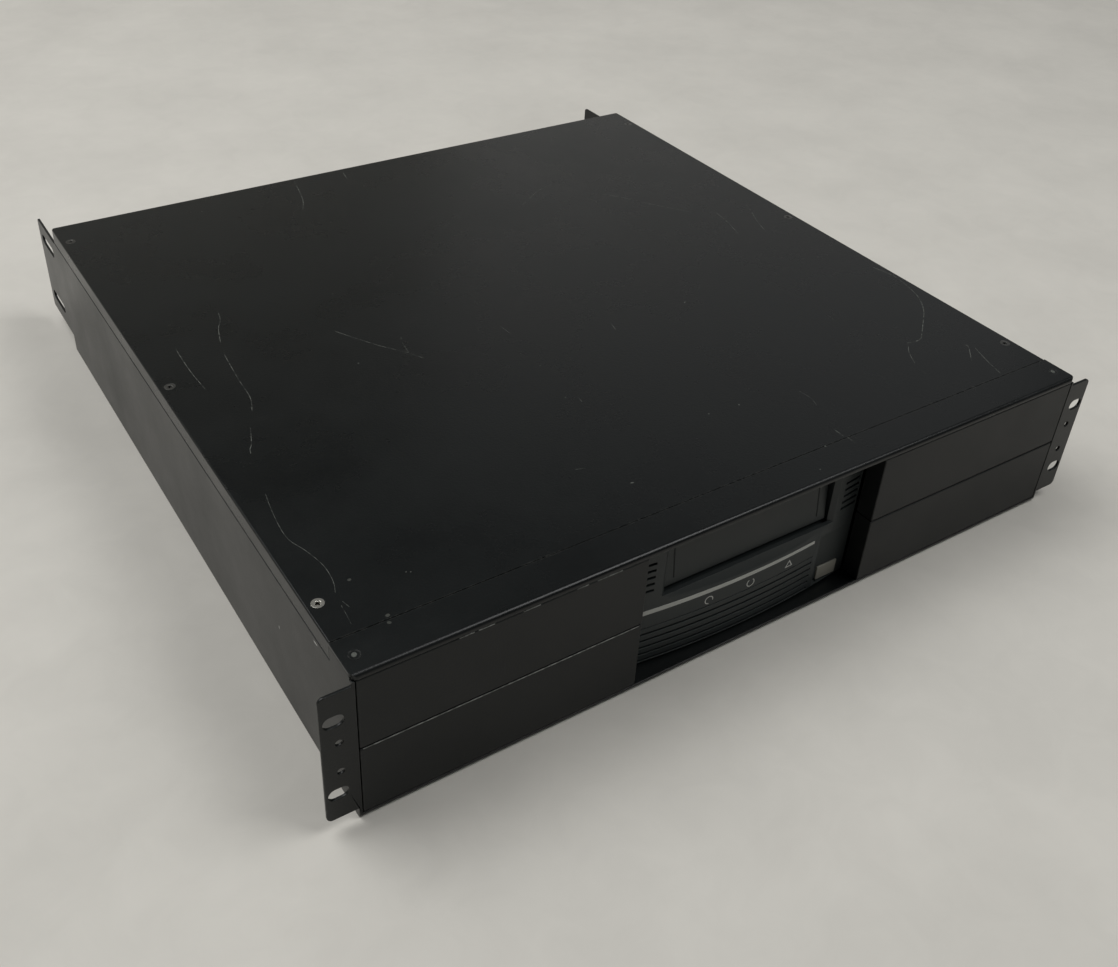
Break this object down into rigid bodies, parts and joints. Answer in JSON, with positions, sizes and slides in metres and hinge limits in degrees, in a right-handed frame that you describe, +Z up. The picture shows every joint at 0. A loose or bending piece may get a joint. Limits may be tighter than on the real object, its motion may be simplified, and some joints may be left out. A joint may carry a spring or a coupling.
{
  "type": "rack tape drive",
  "caption": "Low black rack enclosure with ears and rear tabs, a bowed tape drive front with cartridge door in its middle bay and blanking panels on both sides.",
  "frame": {"origin": "on the underside of the enclosure, in the middle of its overall width and depth", "axes": "+X to the right seen from the front, +Y from the front to the rear, +Z up"},
  "size_m": [0.476, 0.486, 0.0885],
  "materials": {
    "powder_coat": "black textured powder coat, worn at the edges",
    "zinc_steel": "zinc plated sheet",
    "screw_steel": "dark plated",
    "bezel_plastic": "fine grained moulding",
    "silver_trim": "satin silver",
    "clear_plastic": "clear",
    "grey_plastic": "fine grained moulding",
    "bright_steel": "ground",
    "cast_aluminium": "die cast",
    "supply_case": "plain sheet",
    "motor_black": "satin black",
    "reel_plastic": "natural acetal",
    "head_ferrite": "polished",
    "board_green": "solder resist",
    "black_plastic": "moulded",
    "standoff_brass": "turned",
    "ribbon_grey": "flat ribbon",
    "guard_wire": "bright pressing"
  },
  "bodies": {
    "enclosure": {"chassis_tray": "powder_coat", "front_header": "powder_coat", "header_rivets": "powder_coat", "lid": "powder_coat", "lid_screws": "screw_steel", "lid_rail_left": "zinc_steel", "lid_rail_right": "zinc_steel", "blank_panel_left_lower": "powder_coat", "blank_panel_left_upper": "powder_coat", "blank_panel_right_lower": "powder_coat", "blank_panel_right_upper": "powder_coat", "bay_divider_left": "zinc_steel", "bay_divider_right": "zinc_steel", "drive_screws": "screw_steel", "drive_base": "cast_aluminium", "drive_cover": "zinc_steel", "cover_screws": "screw_steel", "drive_deck": "zinc_steel", "drive_bezel": "bezel_plastic", "bezel_stripe": "silver_trim", "status_light_pipes": "clear_plastic", "door_pins": "bright_steel", "eject_switch": "black_plastic", "front_board": "board_green", "cartridge_receiver": "zinc_steel", "supply_motor": "motor_black", "takeup_motor": "motor_black", "roller_posts": "bright_steel", "head_rods": "bright_steel", "head_bridge": "cast_aluminium", "head_stepper": "motor_black", "controller_board": "board_green", "board_standoffs": "standoff_brass", "board_chips": "black_plastic", "drive_data_plug": "black_plastic", "drive_power_plug": "black_plastic", "power_supply": "supply_case", "mains_inlet": "black_plastic", "switch_frame": "black_plastic", "data_ports": "black_plastic", "data_ribbon": "ribbon_grey", "rear_panel": "powder_coat", "fan_frame": "black_plastic", "fan_screws": "screw_steel", "fan_guard": "guard_wire"},
    "door": {"cartridge_door": "bezel_plastic", "door_spring": "bright_steel"},
    "eject_button": {"eject_button": "grey_plastic"},
    "power_rocker": {"power_rocker": "black_plastic"},
    "fan_rotor": {"fan_rotor": "black_plastic"},
    "supply_hub": {"supply_hub": "reel_plastic"},
    "takeup_reel": {"takeup_reel": "reel_plastic"},
    "guide_roller_one": {"guide_roller_one": "reel_plastic"},
    "guide_roller_two": {"guide_roller_two": "reel_plastic"},
    "guide_roller_three": {"guide_roller_three": "reel_plastic"},
    "guide_roller_four": {"guide_roller_four": "reel_plastic"},
    "lead_screw": {"head_lead_screw": "bright_steel"},
    "head_carriage": {"head_carriage": "cast_aluminium", "read_head": "head_ferrite"}
  },
  "joints": [
    {"name": "door_swing", "type": "hinge", "parent": "enclosure", "child": "door", "pos_m": [0, -0.2237, 0.08], "axis": [1, 0, 0], "range_deg": [0, 85], "stiffness_Nm_per_rad": 0.004, "springref_deg": -28.65},
    {"name": "eject_press", "type": "slide", "parent": "enclosure", "child": "eject_button", "axis": [0, 1, 0], "range_m": [0, 0.0015], "stiffness_N_per_m": 800, "springref_m": -0.001},
    {"name": "rocker_tip", "type": "hinge", "parent": "enclosure", "child": "power_rocker", "pos_m": [-0.146, 0.1974, 0.044], "axis": [1, 0, 0], "range_deg": [-16, 0]},
    {"name": "fan_spin", "type": "hinge", "parent": "enclosure", "child": "fan_rotor", "pos_m": [0.15, 0.1944, 0.044], "axis": [0, 1, 0], "continuous": true},
    {"name": "hub_spin", "type": "hinge", "parent": "enclosure", "child": "supply_hub", "pos_m": [0, -0.164, 0.0415], "axis": [0, 0, 1], "continuous": true},
    {"name": "reel_spin", "type": "hinge", "parent": "enclosure", "child": "takeup_reel", "pos_m": [0, -0.05, 0.0415], "axis": [0, 0, 1], "continuous": true},
    {"name": "roller_one_spin", "type": "hinge", "parent": "enclosure", "child": "guide_roller_one", "pos_m": [-0.04, -0.103, 0.0457], "axis": [0, 0, 1], "continuous": true},
    {"name": "roller_two_spin", "type": "hinge", "parent": "enclosure", "child": "guide_roller_two", "pos_m": [-0.057, -0.096, 0.0457], "axis": [0, 0, 1], "continuous": true},
    {"name": "roller_three_spin", "type": "hinge", "parent": "enclosure", "child": "guide_roller_three", "pos_m": [-0.06, -0.05, 0.0457], "axis": [0, 0, 1], "continuous": true},
    {"name": "roller_four_spin", "type": "hinge", "parent": "enclosure", "child": "guide_roller_four", "pos_m": [-0.055, -0.031, 0.0457], "axis": [0, 0, 1], "continuous": true},
    {"name": "head_lift", "type": "slide", "parent": "enclosure", "child": "head_carriage", "axis": [0, 0, 1], "range_m": [-0.003, 0.003]},
    {"name": "lead_turn", "type": "hinge", "parent": "enclosure", "child": "lead_screw", "pos_m": [-0.06, -0.073, 0.039], "axis": [0, 0, 1], "range_deg": [-1080, 1080]}
  ],
  "couplings": [
    {"joint": "lead_turn", "follows": "head_lift", "rad_per_m": 6283.2}
  ]
}
